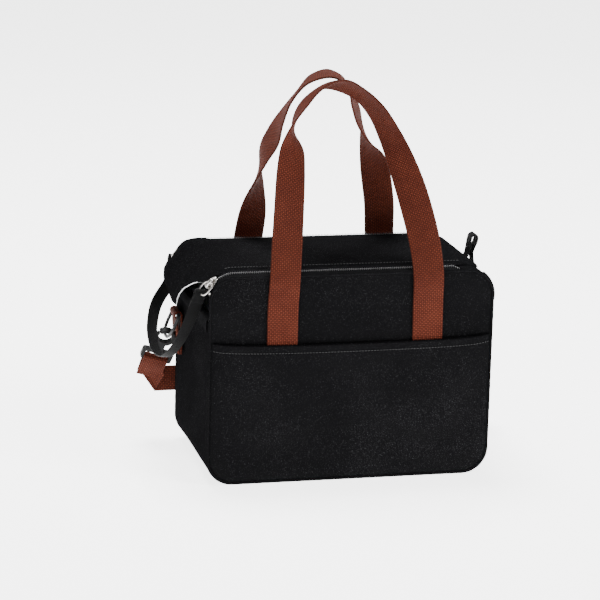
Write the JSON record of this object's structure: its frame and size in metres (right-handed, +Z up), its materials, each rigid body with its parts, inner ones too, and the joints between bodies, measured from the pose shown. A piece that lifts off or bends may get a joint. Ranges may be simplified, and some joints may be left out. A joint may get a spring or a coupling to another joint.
{
  "type": "insulated cooler bag",
  "caption": "Soft insulated cooler bag with a zipped hinged lid, foil lining, slip pocket, two webbing handles and a clip-on shoulder strap.",
  "frame": {"origin": "centre of the flat underside", "axes": "+X to the end where the lid is joined, +Y to the back, away from the slip pocket, +Z up"},
  "size_m": [0.3604, 0.1803, 0.3795],
  "materials": {
    "shell_fabric": "black fine woven polyester canvas, matt with tiny glints",
    "piping": "black cloth-covered cord",
    "foam": "white closed-cell foam",
    "foil": "silver heat-reflective film on cloth, satin",
    "board": "black plastic sheet",
    "black_tape": "black fine-ribbed woven tape",
    "zip_teeth": "dark grey moulded coil teeth",
    "nickel": "polished nickel plate",
    "webbing": "rust brown coarse cotton webbing",
    "black_plastic": "black moulded acetal, satin"
  },
  "bodies": {
    "bag": {"front_panel": "shell_fabric", "back_panel": "shell_fabric", "gusset": "shell_fabric", "front_foam": "foam", "back_foam": "foam", "wrap_foam": "foam", "front_lining": "foil", "back_lining": "foil", "wrap_lining": "foil", "base_board": "board", "front_piping": "piping", "back_piping": "piping", "front_pocket": "shell_fabric", "pocket_hem": "piping", "front_bag_tape": "black_tape", "back_bag_tape": "black_tape", "front_bag_teeth": "zip_teeth", "back_bag_teeth": "zip_teeth", "front_zip_stop": "nickel", "back_zip_stop": "nickel", "front_handle_feet": "webbing", "back_handle_feet": "webbing", "left_side_tab": "webbing", "right_side_tab": "webbing", "strap_run": "webbing", "strap_return": "webbing", "grab_tab": "black_tape", "front_zip_patch": "shell_fabric", "back_zip_patch": "shell_fabric"},
    "lid": {"lid_cover": "shell_fabric", "lid_foam": "foam", "lid_lining": "foil", "tongue_facing": "foil", "tongue_edge": "foil", "front_lid_tape": "black_tape", "back_lid_tape": "black_tape", "front_lid_teeth": "zip_teeth", "back_lid_teeth": "zip_teeth"},
    "zip_pull": {"pull_ribbon": "black_tape"},
    "sliders": {"front_slider": "nickel", "back_slider": "nickel"},
    "front_ring": {"front_ring": "nickel"},
    "back_ring": {"back_ring": "nickel"},
    "front_legs": {"front_handle_legs": "webbing"},
    "back_legs": {"back_handle_legs": "webbing"},
    "front_handle": {"front_handle_arch": "webbing"},
    "back_handle": {"back_handle_arch": "webbing"},
    "left_dring": {"left_dring": "black_plastic"},
    "right_dring": {"right_dring": "black_plastic"},
    "left_hook": {"left_snap_hook": "black_plastic", "left_strap_end": "webbing"},
    "right_hook": {"right_snap_hook": "black_plastic", "right_strap_end": "webbing"},
    "left_gate": {"left_hook_gate": "black_plastic"},
    "right_gate": {"right_hook_gate": "black_plastic"},
    "strap_glide": {"strap_glide": "black_plastic"}
  },
  "joints": [
    {"name": "lid_open", "type": "hinge", "parent": "bag", "child": "lid", "pos_m": [0.112, 0, 0.208], "axis": [0, 1, 0], "range_deg": [0, 100]},
    {"name": "zip_run", "type": "slide", "parent": "bag", "child": "zip_pull", "axis": [1, 0, 0], "range_m": [0, 0.214], "deforming": ["pull_ribbon", "front_bag_tape", "back_bag_tape", "front_bag_teeth", "back_bag_teeth", "front_lid_tape", "back_lid_tape", "front_lid_teeth", "back_lid_teeth"]},
    {"name": "slider_turn", "type": "hinge", "parent": "zip_pull", "child": "sliders", "pos_m": [-0.114, 0, 0.179], "axis": [0, 1, 0], "range_deg": [0, 50]},
    {"name": "front_ring_swing", "type": "hinge", "parent": "sliders", "child": "front_ring", "pos_m": [-0.13839, -0.071, 0.19816], "axis": [0, 1, 0], "range_deg": [-4, 12]},
    {"name": "back_ring_swing", "type": "hinge", "parent": "sliders", "child": "back_ring", "pos_m": [-0.13839, 0.071, 0.19816], "axis": [0, 1, 0], "range_deg": [-4, 12]},
    {"name": "front_legs_lean", "type": "hinge", "parent": "bag", "child": "front_legs", "pos_m": [0, -0.0823, 0.1402], "axis": [1, 0, 0], "range_deg": [0, 50]},
    {"name": "back_legs_lean", "type": "hinge", "parent": "bag", "child": "back_legs", "pos_m": [0, 0.0823, 0.1402], "axis": [1, 0, 0], "range_deg": [-50, 0]},
    {"name": "front_handle_fold", "type": "hinge", "parent": "front_legs", "child": "front_handle", "pos_m": [0, -0.0823, 0.21], "axis": [1, 0, 0], "range_deg": [0, 150]},
    {"name": "back_handle_fold", "type": "hinge", "parent": "back_legs", "child": "back_handle", "pos_m": [0, 0.0823, 0.21], "axis": [1, 0, 0], "range_deg": [-150, 0]},
    {"name": "left_dring_swing", "type": "hinge", "parent": "bag", "child": "left_dring", "pos_m": [-0.1442, 0.057, 0.136], "axis": [0, 1, 0], "range_deg": [-4, 4]},
    {"name": "left_hook_swing", "type": "hinge", "parent": "bag", "child": "left_hook", "pos_m": [-0.15437, 0.057, 0.11316], "axis": [1, 0, 0], "range_deg": [-6, 6]},
    {"name": "left_gate_press", "type": "hinge", "parent": "left_hook", "child": "left_gate", "pos_m": [-0.16282, 0.05944, 0.11082], "axis": [0.1294, 0.8829, 0.4513], "range_deg": [0, 14], "stiffness_Nm_per_rad": 0.02},
    {"name": "right_dring_swing", "type": "hinge", "parent": "bag", "child": "right_dring", "pos_m": [0.1442, 0.057, 0.136], "axis": [0, 1, 0], "range_deg": [-4, 4]},
    {"name": "right_hook_swing", "type": "hinge", "parent": "bag", "child": "right_hook", "pos_m": [0.15437, 0.057, 0.11316], "axis": [1, 0, 0], "range_deg": [-6, 6]},
    {"name": "right_gate_press", "type": "hinge", "parent": "right_hook", "child": "right_gate", "pos_m": [0.16282, 0.05944, 0.11082], "axis": [-0.1294, 0.8829, 0.4513], "range_deg": [-14, 0], "stiffness_Nm_per_rad": 0.02},
    {"name": "glide_shift", "type": "slide", "parent": "bag", "child": "strap_glide", "axis": [1, 0, 0], "range_m": [-0.03, 0.03]}
  ],
  "couplings": [
    {"joint": "slider_turn", "follows": "zip_run", "rad_per_m": 4.0779},
    {"joint": "front_legs_lean", "follows": "lid_open", "ratio": 0.5},
    {"joint": "back_legs_lean", "follows": "lid_open", "ratio": -0.5}
  ]
}
